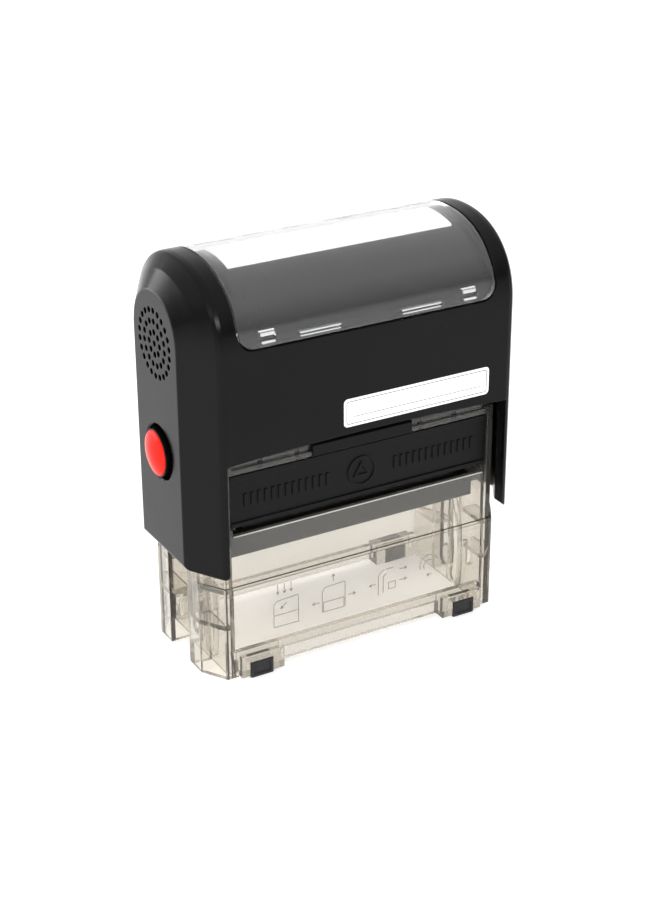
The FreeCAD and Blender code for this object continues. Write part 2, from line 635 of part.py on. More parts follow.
# ---------------------------------------------------------------- turning holder
def die_holder():
    """Tray-shaped holder with end plates that carry the axle pins and cam pins."""
    z = AXLE_Z
    top = box((-HOLDER_HALF_X, HOLDER_HALF_X), (-HOLDER_HALF_Y, HOLDER_HALF_Y), (z + 1.2, z + HOLDER_TOP))
    side = box((-HOLDER_HALF_X, HOLDER_HALF_X), (-HOLDER_HALF_Y, -8.1), (z - 1.4, z + HOLDER_TOP))
    end = box((22.6, HOLDER_HALF_X), (-HOLDER_HALF_Y, HOLDER_HALF_Y), (z - 1.4, z + HOLDER_TOP))
    hub = box((22.6, HOLDER_HALF_X), (-4.2, 4.2), (z - 3.0, z + HOLDER_TOP))
    cam_y, cam_z = cam_pin_at(0.0)
    cam_boss = rod_x(1.5, 22.6, HOLDER_HALF_X, cam_y, cam_z)
    ribs = [box((x - 0.5, x + 0.5), (-8.2, 8.2), (z - 0.8, z + 1.3)) for x in (-14, -7, 0, 7, 14)]
    body = joined([top] + both_y(side) + both_x(end) + both_x(hub) + both_x(cam_boss) + ribs)
    axle_hole = rod_x(AXLE_R, 22.0, 25.0, 0, AXLE_Z)
    cam_hole = rod_x(CAM_PIN_R, 22.0, 25.0, cam_y, cam_z)
    return joined([body.cut(both_x(axle_hole) + both_x(cam_hole))])


def axle_pin():
    """The right axle pin."""
    return softened(rod_x(AXLE_R, 22.6, 29.5, 0, AXLE_Z), 0.25, lambda e: e.CenterOfMass.x > 29)


def cam_pin():
    """The right cam pin."""
    cam_y, cam_z = cam_pin_at(0.0)
    return rod_x(CAM_PIN_R, 22.6, 24.8, cam_y, cam_z)


def die_cushion():
    return box((-21.2, 21.2), (-8.3, 8.3), (AXLE_Z + HOLDER_TOP, AXLE_Z + CUSHION_TOP))


def text_plate():
    """Rubber plate whose raised imprint is a plain border with two rows of blocks and a ruled line."""
    half_x, half_y = 21.0, 8.2
    sheet = box((-half_x, half_x), (-half_y, half_y), (AXLE_Z + CUSHION_TOP, AXLE_Z + PLATE_TOP))
    relief_z = (AXLE_Z + PLATE_TOP - 0.1, AXLE_Z + DIE_FACE_OFFSET)
    border = box((-20.6, 20.6), (-7.9, 7.9), relief_z)
    border = border.cut(box((-19.9, 19.9), (-7.2, 7.2), (AXLE_Z, AXLE_Z + 10)))
    blocks = []
    for row_y in (-3.6, 3.6):
        for i in range(7):
            x = -17.0 + 5.0 * i
            blocks.append(box((x, x + 3.6), (row_y - 1.5, row_y + 1.5), relief_z))
    blocks.append(box((-17.0, 17.0), (-0.4, 0.4), relief_z))
    return joined([sheet, border] + blocks)


# ---------------------------------------------------------------- all pieces
def pieces():
    """Every node's name and shape."""
    middle = (TRAY_Z[0] + TRAY_Z[1]) / 2
    nodes = {
        "base_frame": base_frame(),
        "pad_catch": pad_catch(),
        "cover_shell": cover_shell(),
        "index_window": index_window(),
        "index_card": index_card(),
        "return_spring": return_spring(),
        "ink_cartridge": ink_cartridge(),
        "ink_pad_lower": ink_pad(TRAY_Z[0] - PAD_PROUD, middle - WEB_HALF),
        "ink_pad_upper": ink_pad(middle + WEB_HALF, TRAY_Z[1] + PAD_PROUD),
        "die_holder": die_holder(),
        "die_cushion": die_cushion(),
        "text_plate": text_plate(),
    }
    nodes["button_spring_right"] = button_spring()
    nodes["button_spring_left"] = nodes["button_spring_right"].rotated(Vector(0, 0, 0), Vector(0, 0, 1), 180)
    for name, shape in {
        "lock_button": lock_button(),
        "axle_pin": axle_pin(),
        "cam_pin": cam_pin(),
    }.items():
        nodes[name + "_right"] = shape
        nodes[name + "_left"] = mirror_x(shape)
    for place, shape in zip(("front", "rear"), both_y(rubber_foot())):
        nodes["foot_%s_right" % place] = shape
        nodes["foot_%s_left" % place] = mirror_x(shape)
    return nodes


def main():
    os.makedirs("parts", exist_ok=True)
    for name, shape in sorted(pieces().items()):
        shape.exportStep("parts/%s.step" % name)
        extent = shape.BoundBox
        print("%-20s valid %s solids %d volume %.2f  x %.2f..%.2f y %.2f..%.2f z %.2f..%.2f" % (
            name, shape.isValid(), len(shape.Solids), shape.Volume,
            extent.XMin, extent.XMax, extent.YMin, extent.YMax, extent.ZMin, extent.ZMax))


main()
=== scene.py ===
import json
import math

import bpy
import bmesh
from mathutils.bvhtree import BVHTree
from mathutils import Matrix, Vector


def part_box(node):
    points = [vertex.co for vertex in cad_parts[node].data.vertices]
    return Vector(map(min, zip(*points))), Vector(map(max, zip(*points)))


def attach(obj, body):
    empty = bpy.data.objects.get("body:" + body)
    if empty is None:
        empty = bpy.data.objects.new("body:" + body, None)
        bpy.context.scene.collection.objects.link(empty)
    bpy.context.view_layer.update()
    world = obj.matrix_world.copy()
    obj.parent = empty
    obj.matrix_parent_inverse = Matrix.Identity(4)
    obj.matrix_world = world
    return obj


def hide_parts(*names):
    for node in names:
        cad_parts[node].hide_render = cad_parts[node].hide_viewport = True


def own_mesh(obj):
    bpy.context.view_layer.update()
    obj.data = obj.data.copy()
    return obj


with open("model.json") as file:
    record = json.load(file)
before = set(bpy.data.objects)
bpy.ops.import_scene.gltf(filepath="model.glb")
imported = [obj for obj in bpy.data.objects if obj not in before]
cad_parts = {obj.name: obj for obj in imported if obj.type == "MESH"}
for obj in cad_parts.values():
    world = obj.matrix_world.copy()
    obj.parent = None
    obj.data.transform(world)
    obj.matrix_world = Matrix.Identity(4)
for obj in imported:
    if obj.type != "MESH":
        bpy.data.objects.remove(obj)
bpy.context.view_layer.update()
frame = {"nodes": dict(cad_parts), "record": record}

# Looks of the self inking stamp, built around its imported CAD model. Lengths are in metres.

MM = 0.001
WHITE = (1.0, 1.0, 1.0, 1.0)
SMOKE_COLOUR = (0.50, 0.445, 0.345, 1.0)        # what thick clear plastic turns to
SHARP_EDGE = math.radians(38)           # edges that turn more than this stay crisp
MIX_FACTOR, MIX_FIRST, MIX_SECOND = 0, 6, 7     # input sockets of a colour Mix node
MIX_COLOUR = 2                                  # its colour output


# ---------------------------------------------------------------- node helpers
class Shader:
    """A material's node tree with short calls for the nodes used here."""

    def __init__(self, name):
        self.material = bpy.data.materials.new(name)
        self.material.use_nodes = True
        self.tree = self.material.node_tree
        self.tree.nodes.clear()
        self.output = self.tree.nodes.new("ShaderNodeOutputMaterial")
        self.bsdf = self.tree.nodes.new("ShaderNodeBsdfPrincipled")
        self.link(self.bsdf.outputs[0], self.output.inputs["Surface"])
        self.where = self.tree.nodes.new("ShaderNodeTexCoord").outputs["Object"]

    def link(self, source, target):
        self.tree.links.new(source, target)

    def node(self, kind, **values):
        made = self.tree.nodes.new(kind)
        for key, value in values.items():
            setattr(made, key, value)
        return made

    def plain(self, **values):
        """Sets the Principled sockets named with underscores for spaces."""
        for key, value in values.items():
            self.bsdf.inputs[key.replace("_", " ")].default_value = value

    def noise(self, scale_per_m, detail=4.0, roughness=0.55, stretch=None):
        """A noise factor from 0 to 1, with this many features in a metre."""
        made = self.node("ShaderNodeTexNoise")
        made.inputs["Scale"].default_value = scale_per_m
        made.inputs["Detail"].default_value = detail
        made.inputs["Roughness"].default_value = roughness
        if stretch is None:
            self.link(self.where, made.inputs["Vector"])
        else:
            mapping = self.node("ShaderNodeMapping")
            mapping.inputs["Scale"].default_value = stretch
            self.link(self.where, mapping.inputs["Vector"])
            self.link(mapping.outputs[0], made.inputs["Vector"])
        return made.outputs["Fac"]

    def span(self, factor, low, high, start=0.3, end=0.7):
        """The factor's stretch from start to end mapped to low to high."""
        made = self.node("ShaderNodeMapRange")
        for socket, value in zip(("From Min", "From Max", "To Min", "To Max"), (start, end, low, high)):
            made.inputs[socket].default_value = value
        self.link(factor, made.inputs["Value"])
        return made.outputs[0]

    def math(self, operation, a, b):
        made = self.node("ShaderNodeMath", operation=operation)
        for socket, value in zip(made.inputs, (a, b)):
            if isinstance(value, (int, float)):
                socket.default_value = value
            else:
                self.link(value, socket)
        return made.outputs[0]

    def mix_colour(self, factor, first, second):
        made = self.node("ShaderNodeMix", data_type="RGBA")
        for socket, value in ((made.inputs[MIX_FIRST], first), (made.inputs[MIX_SECOND], second)):
            if isinstance(value, tuple):
                socket.default_value = value + (1.0,)
            else:
                self.link(value, socket)
        self.link(factor, made.inputs[MIX_FACTOR])
        return made.outputs[MIX_COLOUR]

    def edge_mask(self, radius):
        """From 0 on flat faces towards 1 near edges."""
        bevel = self.node("ShaderNodeBevel", samples=4)
        bevel.inputs["Radius"].default_value = radius
        geometry = self.node("ShaderNodeNewGeometry")
        dot = self.node("ShaderNodeVectorMath", operation="DOT_PRODUCT")
        self.link(bevel.outputs[0], dot.inputs[0])
        self.link(geometry.outputs["Normal"], dot.inputs[1])
        return self.span(dot.outputs["Value"], 1.0, 0.0, start=0.80, end=0.99)

    def relief(self, height, depth, strength=1.0, soft_edge=0.0):
        """Bump of this depth in metres, with edges shaded as if rounded."""
        bump = self.node("ShaderNodeBump")
        bump.inputs["Strength"].default_value = strength
        bump.inputs["Distance"].default_value = depth
        self.link(height, bump.inputs["Height"])
        if soft_edge:
            bevel = self.node("ShaderNodeBevel", samples=4)
            bevel.inputs["Radius"].default_value = soft_edge
            self.link(bevel.outputs[0], bump.inputs["Normal"])
        self.link(bump.outputs[0], self.bsdf.inputs["Normal"])


def moulded_plastic(name, dark, light, gloss, grain_depth, soft_edge=0.25 * MM, ior=1.46, shine=0.5):
    """Opaque moulded plastic: fine tool grain, faint flow marks, handling haze and rubbed edges."""
    s = Shader(name)
    flow = s.noise(90, detail=3.0)
    grain = s.noise(5200, detail=2.0)
    scratches = s.noise(900, detail=3.0, stretch=(1.0, 0.12, 0.35))
    tone = s.mix_colour(s.span(flow, 0.0, 1.0), dark, light)
    rubbed = tuple(min(1.0, 2.2 * c + 0.012) for c in light)
    handled = s.span(s.noise(420, detail=4.0), 0.0, 0.55, start=0.42, end=0.72)
    wear = s.math("MULTIPLY", s.edge_mask(0.35 * MM), handled)
    s.link(s.mix_colour(wear, tone, rubbed), s.bsdf.inputs["Base Color"])
    haze = s.span(flow, gloss[0], gloss[1])
    fine = s.span(scratches, -0.03, 0.05, start=0.45, end=0.75)
    s.link(s.math("ADD", haze, fine), s.bsdf.inputs["Roughness"])
    s.plain(IOR=ior, Specular_IOR_Level=shine)
    s.relief(grain, grain_depth, soft_edge=soft_edge)
    return s.material


def clear_plastic(name, tint, roughness, clarity, ior=1.5, soft_edge=0.0, smoke=0.0):
    """Moulded clear plastic that bends light, a little milky, with faint flow lines.

    The more smoke, the more it darkens with thickness. Light passes it straight on its way to a shadow.
    """
    s = Shader(name)
    flow = s.noise(260, detail=3.0, stretch=(0.4, 1.0, 1.6))
    s.plain(Transmission_Weight=clarity, IOR=ior)
    darker = tuple(c * 0.97 for c in tint)
    s.link(s.mix_colour(s.span(flow, 0.0, 1.0), darker, tint), s.bsdf.inputs["Base Color"])
    s.link(s.span(s.noise(700, detail=3.0), roughness * 0.6, roughness * 1.5), s.bsdf.inputs["Roughness"])
    s.relief(flow, 0.01 * MM, strength=0.3, soft_edge=soft_edge)
    through = s.node("ShaderNodeBsdfTransparent")
    through.inputs["Color"].default_value = tuple(c * clarity for c in tint) + (1.0,)
    path = s.node("ShaderNodeLightPath")
    mix = s.node("ShaderNodeMixShader")
    s.link(path.outputs["Is Shadow Ray"], mix.inputs["Fac"])
    s.link(s.bsdf.outputs[0], mix.inputs[1])
    s.link(through.outputs[0], mix.inputs[2])
    s.link(mix.outputs[0], s.output.inputs["Surface"])
    if smoke:
        haze = s.node("ShaderNodeVolumeAbsorption")
        haze.inputs["Color"].default_value = SMOKE_COLOUR
        haze.inputs["Density"].default_value = smoke
        s.link(haze.outputs[0], s.output.inputs["Volume"])
    return s.material


def red_plastic():
    """Glossy red moulded plastic with a faint cloudiness."""
    s = Shader("red_plastic")
    cloud = s.noise(300, detail=3.0)
    deep, bright = (0.74, 0.012, 0.006), (0.84, 0.020, 0.009)
    s.link(s.mix_colour(s.span(cloud, 0.0, 1.0), deep, bright), s.bsdf.inputs["Base Color"])
    s.link(s.span(s.noise(1300, detail=4.0), 0.10, 0.20), s.bsdf.inputs["Roughness"])
    s.plain(IOR=1.22, Specular_IOR_Level=0.35)
    s.relief(s.noise(2600, detail=2.0), 0.004 * MM, strength=0.6, soft_edge=0.15 * MM)
    return s.material


def steel(name, tone):
    """Drawn or ground steel with fine lengthwise marks."""
    s = Shader(name)
    marks = s.noise(2600, detail=3.0, stretch=(0.1, 1.0, 1.0))
    bright = tuple(min(1.0, c * 1.15) for c in tone)
    s.link(s.mix_colour(s.span(marks, 0.0, 1.0), tone, bright), s.bsdf.inputs["Base Color"])
    s.plain(Metallic=1.0)
    s.link(s.span(s.noise(1500, detail=4.0), 0.18, 0.38), s.bsdf.inputs["Roughness"])
    s.relief(marks, 0.006 * MM, strength=0.6)
    return s.material


def card_stock_painted_glow(name):
    """White card or label stock with a fine fibre, lifted a little by a painted glow: a faint emission that
    makes it read brighter than its light makes it.
    """
    s = Shader(name)
    fibre = s.noise(2400, detail=5.0, roughness=0.7)
    grey, white = (0.90, 0.90, 0.885), (0.95, 0.95, 0.94)
    s.link(s.mix_colour(s.span(fibre, 0.0, 1.0), grey, white), s.bsdf.inputs["Base Color"])
    s.link(s.span(fibre, 0.55, 0.75), s.bsdf.inputs["Roughness"])
    # painted glow: the card and the label give off a little light of their own, standing in for more light
    # falling on them
    s.plain(Emission_Strength=0.2)
    s.bsdf.inputs["Emission Color"].default_value = WHITE
    s.relief(fibre, 0.015 * MM, strength=0.5)
    return s.material


def soft_matter(name, dark, light, pore_per_m, depth, rough=(0.75, 0.95), sheen=0.0):
    """Felt, foam or rubber: a porous or dusty surface."""
    s = Shader(name)
    pores = s.noise(pore_per_m, detail=5.0, roughness=0.65)
    s.link(s.mix_colour(s.span(pores, 0.0, 1.0), dark, light), s.bsdf.inputs["Base Color"])
    s.link(s.span(s.noise(500, detail=3.0), rough[0], rough[1]), s.bsdf.inputs["Roughness"])
    s.plain(Sheen_Weight=sheen, Sheen_Roughness=0.5, IOR=1.45)
    s.relief(pores, depth, soft_edge=0.15 * MM)
    return s.material


def plain_ink(name, colour, roughness):
    """Printed or etched marks with a slightly uneven edge tone."""
    s = Shader(name)
    spread = s.noise(1800, detail=3.0)
    lighter = tuple(min(1.0, c * 1.25 + 0.01) for c in colour)
    s.link(s.mix_colour(s.span(spread, 0.0, 1.0), colour, lighter), s.bsdf.inputs["Base Color"])
    s.link(s.span(spread, roughness, min(1.0, roughness + 0.15)), s.bsdf.inputs["Roughness"])
    s.plain(IOR=1.35)
    s.relief(spread, 0.004 * MM, strength=0.5)
    return s.material


MATERIALS = {
    "black_cover": moulded_plastic(
        "black_cover_abs", dark=(0.0010, 0.0010, 0.0012), light=(0.0022, 0.0022, 0.0025),
        gloss=(0.18, 0.27), grain_depth=0.004 * MM, ior=1.35, shine=0.28,
    ),
    "black_tray": moulded_plastic(
        "black_tray_abs", dark=(0.0010, 0.0010, 0.0010), light=(0.0020, 0.0020, 0.0020),
        gloss=(0.34, 0.46), grain_depth=0.006 * MM, soft_edge=0.12 * MM, ior=1.33, shine=0.32,
    ),
    "black_holder": moulded_plastic(
        "holder_abs", dark=(0.012, 0.012, 0.011), light=(0.020, 0.020, 0.018),
        gloss=(0.38, 0.50), grain_depth=0.002 * MM, ior=1.35, shine=0.3,
    ),
    "clear_base": clear_plastic(
        "clear_base_plastic", tint=(0.975, 0.962, 0.935), roughness=0.03, clarity=0.965, ior=1.44,
        smoke=245.0,
    ),
    "clear_window": clear_plastic(
        "clear_window_plastic", tint=(0.985, 0.985, 0.99), roughness=0.02, clarity=0.985, ior=1.45,
        soft_edge=0.2 * MM,
    ),
    # pale, low-clarity plastic for the slot bars: the bars are real, and their paleness is a painted highlight
    # for light caught by the slot walls
    "painted_highlight_loop": clear_plastic(
        "painted_highlight_loop_plastic", tint=(0.92, 0.92, 0.93), roughness=0.12, clarity=0.40, ior=1.5,
        soft_edge=0.10 * MM,
    ),
    # pale frosted plastic that paints a highlight along the top edge of the base's front wall
    "painted_highlight_edge": clear_plastic(
        "painted_highlight_edge_plastic", tint=(0.95, 0.94, 0.91), roughness=0.15, clarity=0.30, ior=1.45,
    ),
    "red_button": red_plastic(),
    "white_card": card_stock_painted_glow("card_stock_painted_glow"),
    "spring_steel": steel("spring_steel_wire", (0.50, 0.50, 0.51)),
    "pin_steel": steel("pin_steel_ground", (0.60, 0.60, 0.61)),
    "ink_felt": soft_matter(
        "ink_felt", dark=(0.006, 0.006, 0.008), light=(0.020, 0.020, 0.026),
        pore_per_m=2400, depth=0.10 * MM, sheen=0.25,
    ),
    "cushion_foam": soft_matter(
        "cushion_foam", dark=(0.012, 0.012, 0.013), light=(0.030, 0.030, 0.032),
        pore_per_m=3200, depth=0.06 * MM,
    ),
    "plate_rubber": soft_matter(
        "plate_rubber", dark=(0.20, 0.030, 0.024), light=(0.30, 0.050, 0.040),
        pore_per_m=1800, depth=0.02 * MM, rough=(0.45, 0.65),
    ),
    "foot_rubber": soft_matter(
        "foot_rubber", dark=(0.010, 0.010, 0.011), light=(0.020, 0.020, 0.022),
        pore_per_m=1600, depth=0.03 * MM, rough=(0.5, 0.7),
    ),
    "etched": plain_ink("etched_marks", (0.20, 0.185, 0.16), 0.7),
    "label": card_stock_painted_glow("label_vinyl"),
    "label_line": plain_ink("label_lines", (0.10, 0.10, 0.11), 0.5),
}


def dress_cad_nodes():
    """Gives every CAD node the material of its slot."""
    for row in frame["record"]["subparts"]:
        obj = frame["nodes"][row["node"]]
        obj.data.materials.clear()
        obj.data.materials.append(MATERIALS[row["material_slot"]])


# ---------------------------------------------------------------- pieces
def placed(name, mesh, body, slot, material, *stands_for):
    """A finished piece from a mesh or bmesh in the row frame, riding on its body."""
    if not isinstance(mesh, bpy.types.Mesh):
        made = bpy.data.meshes.new(name)
        mesh.to_mesh(made)
        mesh.free()
        mesh = made
    obj = bpy.data.objects.new(name, mesh)
    bpy.context.scene.collection.objects.link(obj)
    mesh.materials.append(MATERIALS[material])
    for polygon in mesh.polygons:
        polygon.use_smooth = True
    mesh.set_sharp_from_angle(angle=SHARP_EDGE)
    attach(obj, body)
    if stands_for:
        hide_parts(*stands_for)
    return obj


def cuboid(size, centre):
    """A box of this size about its centre."""
    mesh = bmesh.new()
    bmesh.ops.create_cube(mesh, size=1.0)
    for vert in mesh.verts:
        vert.co = Vector((vert.co.x * size.x, vert.co.y * size.y, vert.co.z * size.z)) + centre
    return mesh


def eased(mesh, offset, segments, profile):
    """The mesh with all its edges rounded."""
    bmesh.ops.bevel(
        mesh, geom=mesh.edges[:], offset=offset, segments=segments, profile=profile, affect="EDGES",
    )
    return mesh


def tube_between(rings, closed_loop):
    """Faces between each ring of points and the next one, and from the last to the first if closed_loop."""
    mesh_faces = []
    following = rings[1:] + rings[:1] if closed_loop else rings[1:]
    for one, two in zip(rings, following):
        for j in range(len(one)):
            k = (j + 1) % len(one)
            mesh_faces.append((one[j], one[k], two[k], two[j]))
    return mesh_faces


def coil(low, high, axis, centre, radius, wire, turns):
    """A compression spring from low to high along an axis (0 or 2), with one closed turn at each end."""
    ring_steps, turn_steps = 10, 30
    total = turns + 2
    count = total * turn_steps
    room = high - low - 2 * wire
    closed = 2.02 * wire                # rise of an end turn, whose wires all but touch
    pitch = (room - 2 * closed) / turns
    mesh = bmesh.new()
    rings = []
    for i in range(count + 1):
        turn = i / turn_steps
        if turn < 1:
            along = closed * turn
        elif turn > total - 1:
            along = room - closed * (total - turn)
        else:
            along = closed + pitch * (turn - 1)
        along += low + wire
        angle = 2 * math.pi * turn
        ring = []
        for j in range(ring_steps):
            around = 2 * math.pi * j / ring_steps
            out = radius + wire * math.cos(around)
            lift = along + wire * math.sin(around)
            a, b = out * math.cos(angle), out * math.sin(angle)
            point = (a, b, lift) if axis == 2 else (lift, a, b)
            ring.append(mesh.verts.new(Vector(point) + Vector(centre)))
        rings.append(ring)
    for corners in tube_between(rings, False):
        mesh.faces.new(corners)
    mesh.faces.new(rings[0])
    mesh.faces.new(list(reversed(rings[-1])))
    bmesh.ops.recalc_face_normals(mesh, faces=mesh.faces)
    return mesh


def springs():
    """The return spring on the deck and the small springs behind the buttons, each coiled between fixed ends.
    """
    wire, radius, turns = 0.5 * MM, 6.0 * MM, 5
    bottom, top = 41.52 * MM, 67.38 * MM
    spring = placed(
        "return_spring_wire",
        coil(bottom, top, 2, (0, 0, 0), radius, wire, turns),
        "base", "spring_steel", "spring_steel", "return_spring",
    )
    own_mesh(spring)
    wire, radius, turns = 0.26 * MM, 2.55 * MM, 2
    for side, sign in (("left", -1), ("right", 1)):
        node = "button_spring_" + side
        low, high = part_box(node)
        middle = (low + high) / 2
        inner, outer = 28.33 * MM, 31.27 * MM
        ends = (inner, outer) if sign > 0 else (-outer, -inner)
        spring = placed(
            node + "_wire",
            coil(*ends, 0, (0, middle.y, middle.z), radius, wire, turns),
            "cover", "spring_steel", "spring_steel", node,
        )
        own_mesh(spring)


def soft_block(low, high, edge, sag, seed_shift):
    """A soft cut block: rounded edges, and long faces that pull in unevenly by up to the sag."""
    size = high - low
    centre = (high + low) / 2
    mesh = eased(cuboid(size, Vector((0, 0, 0))), edge, 3, 0.6)
    for axis, parts in ((0, 30), (1, 14)):
        for i in range(1, parts):
            cut = -size[axis] / 2 + size[axis] * i / parts
            normal = Vector((0, 0, 0))
            normal[axis] = 1.0
            everything = mesh.verts[:] + mesh.edges[:] + mesh.faces[:]
            bmesh.ops.bisect_plane(mesh, geom=everything, plane_co=normal * cut, plane_no=normal)
    for vert in mesh.verts:
        x, y = 2 * vert.co.x / size.x, 2 * vert.co.y / size.y
        inside = max(0.0, 1 - x ** 4) * max(0.0, 1 - y ** 4)
        wave_x = math.sin(7.3 * x + seed_shift)
        wave_y = math.cos(5.1 * y - seed_shift + 2.0 * x)
        ripple = 0.5 + 0.25 * wave_x + 0.25 * wave_y
        vert.co.z -= math.copysign(sag * inside * ripple, vert.co.z)
        vert.co += centre
    return mesh


def soft_pieces():
    """The felt pads and the foam under the text plate."""
    for node, body, slot, edge, sag, shift in (
        ("ink_pad_lower", "cartridge", "ink_felt", 0.5 * MM, 0.12 * MM, 0.4),
        ("ink_pad_upper", "cartridge", "ink_felt", 0.5 * MM, 0.12 * MM, 2.1),
        ("die_cushion", "holder", "cushion_foam", 0.2 * MM, 0.02 * MM, 1.2),
    ):
        low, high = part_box(node)
        piece = placed(node + "_soft", soft_block(low, high, edge, sag, shift), body, slot, slot, node)


def foot(low, high, front):
    """A rubber foot with a rounded body and a shallow panel let into its outer face."""
    mesh = eased(cuboid(high - low, (high + low) / 2), 0.22 * MM, 3, 0.5)
    border, slope, panel_depth = 0.45 * MM, 0.12 * MM, 0.22 * MM
    smallest_face = 1e-6
    mesh.faces.ensure_lookup_table()
    faces = [f for f in mesh.faces if f.normal.y * front > 0.99 and f.calc_area() > smallest_face]
    bmesh.ops.inset_region(mesh, faces=faces, thickness=border, depth=0)
    bmesh.ops.inset_region(mesh, faces=faces, thickness=slope, depth=-panel_depth)
    return mesh


def feet():
    """The four rubber feet."""
    for place, front in (("front", -1), ("rear", 1)):
        for side in ("left", "right"):
            node = "foot_%s_%s" % (place, side)
            placed(node + "_moulded", foot(*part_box(node), front), "base", "foot_rubber", "foot_rubber", node)


def wall_edge():
    """A rounded strip on the top edge of the base's front wall, in a pale frosted plastic that paints the
    highlight this edge catches.
    """
    low, high = Vector((-24.7, -12.24, 27.06)) * MM, Vector((24.7, -11.98, 27.22)) * MM
    mesh = eased(cuboid(high - low, (low + high) / 2), 0.06 * MM, 3, 0.5)
    # painted highlight: the strip's pale frosted plastic stands in for light caught by the wall's top edge
    placed("front_wall_painted_highlight", mesh, "base", "clear_base", "painted_highlight_edge")


def tower_webs():
    """A second thin web inside each of the base's four corner towers, just clear of the tower's walls."""
    outline = [(25.66, 4.89), (28.44, 4.89), (28.44, 7.07), (25.97, 11.04), (25.66, 11.04)]
    bottom, top = 16.3, 17.1
    mesh = bmesh.new()
    for side in (-1, 1):
        for end in (-1, 1):
            low, high = [
                [mesh.verts.new(Vector((side * x, end * y, z)) * MM) for x, y in outline]
                for z in (bottom, top)
            ]
            mesh.faces.new(low)
            mesh.faces.new(high)
            for corners in tube_between([low, high], False):
                mesh.faces.new(corners)
    bmesh.ops.recalc_face_normals(mesh, faces=mesh.faces)
    placed("tower_webs", mesh, "base", "clear_base", "clear_base")


def button_sleeves():
    """Dark sleeve round each red button, a little proud of the cover's end face."""
    steps = 96
    for side, sign in (("left", -1), ("right", 1)):
        low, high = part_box("lock_button_" + side)
        centre = (low + high) / 2
        face = high.x if sign > 0 else -low.x
        # radius, and how far inside the button's outermost point
        section = [(3.96, 2.4), (3.96, 1.02), (4.05, 0.96), (4.14, 1.06), (4.18, 2.4)]
        profile = [(r, face / MM - inward) for r, inward in section]
        mesh = bmesh.new()
        rings = []
        for i in range(steps):
            turn = 2 * math.pi * i / steps
            out_y, out_z = math.cos(turn), math.sin(turn)
            rings.append([
                mesh.verts.new((sign * x * MM, centre.y + r * MM * out_y, centre.z + r * MM * out_z))
                for r, x in profile
            ])
        for corners in tube_between(rings, True):
            mesh.faces.new(corners)
        bmesh.ops.recalc_face_normals(mesh, faces=mesh.faces)
        placed("button_sleeve_" + side, mesh, "button_" + side, "black_cover", "black_cover")


def lip_bar(mesh, centre, up, normal, across, along, out, edge):
    """Adds a bar to the mesh: ranges in mm across the window, up along it and out of it."""
    across_x = Vector((1, 0, 0))
    part = bmesh.new()
    bmesh.ops.create_cube(part, size=1.0)
    for vert in part.verts:
        steps = [(r[0] + r[1]) / 2 + c * (r[1] - r[0]) for r, c in zip((across, along, out), vert.co)]
        vert.co = centre + (across_x * steps[0] + up * steps[1] + normal * steps[2]) * MM
    eased(part, edge * MM, 2, 0.5)
    shape = bpy.data.meshes.new("bar")
    part.to_mesh(shape)
    part.free()
    mesh.from_mesh(shape)
    bpy.data.meshes.remove(shape)


def window_lips():
    """Lips of the slots along the window's lower edges; their bars are real, and their pale plastic is a
    painted highlight for the light the slot walls catch.

    Each short slot has a dark backing and a snap loop of two bars, and each long slot two thin bars.
    """
    window = bpy.data.objects["index_window"]
    tree = BVHTree.FromObject(window, bpy.context.evaluated_depsgraph_get())
    short_slot, long_slot = (19.05, 62.68), (9.575, 62.1)       # x and z of their middles
    clear_x = 15.6      # the window is solid here, between the slots, so a ray finds its outer face

    def spot(x, z, front):
        """The point of the window's outer face at this x and z, with its upward and outward directions."""
        start = window.matrix_world.inverted() @ Vector((clear_x * MM, front * 0.05, z * MM))
        hit, normal, _, _ = tree.ray_cast(start, Vector((0, -front, 0)))
        up = Vector((1, 0, 0)).cross(normal)
        return Vector((x * MM, hit.y, hit.z)), up if up.z > 0 else -up, normal

    for front, place in ((-1, "front"), (1, "rear")):
        for sign, side in ((-1, "left"), (1, "right")):
            where = spot(sign * short_slot[0], short_slot[1], front)
            backing = bmesh.new()
            lip_bar(backing, *where, (-1.34, 1.34), (-0.95, 0.95), (-1.05, -0.45), 0.04)
            placed("snap_backing_%s_%s" % (place, side), backing, "window", "clear_window", "clear_window")
            loop = bmesh.new()
            lip_bar(loop, *where, (-1.26, 1.26), (0.26, 0.86), (-0.40, 0.03), 0.14)
            lip_bar(loop, *where, (-1.16, 1.26), (-0.92, -0.54), (-0.40, 0.03), 0.12)
            # painted highlight: the loop's pale plastic stands in for light caught by the slot walls
            placed("snap_loop_%s_%s" % (place, side), loop, "window", "clear_window", "painted_highlight_loop")
            where = spot(sign * long_slot[0], long_slot[1], front)
            lips = bmesh.new()
            lip_bar(lips, *where, (-3.80, 3.80), (0.12, 0.40), (-0.30, 0.03), 0.10)
            lip_bar(lips, *where, (-3.70, 3.70), (-0.42, -0.20), (-0.30, 0.03), 0.08)
            # painted highlight: the lips' pale plastic stands in for light caught by the slot walls
            placed("long_slot_lips_%s_%s" % (place, side), lips, "window", "clear_window", "painted_highlight_loop")


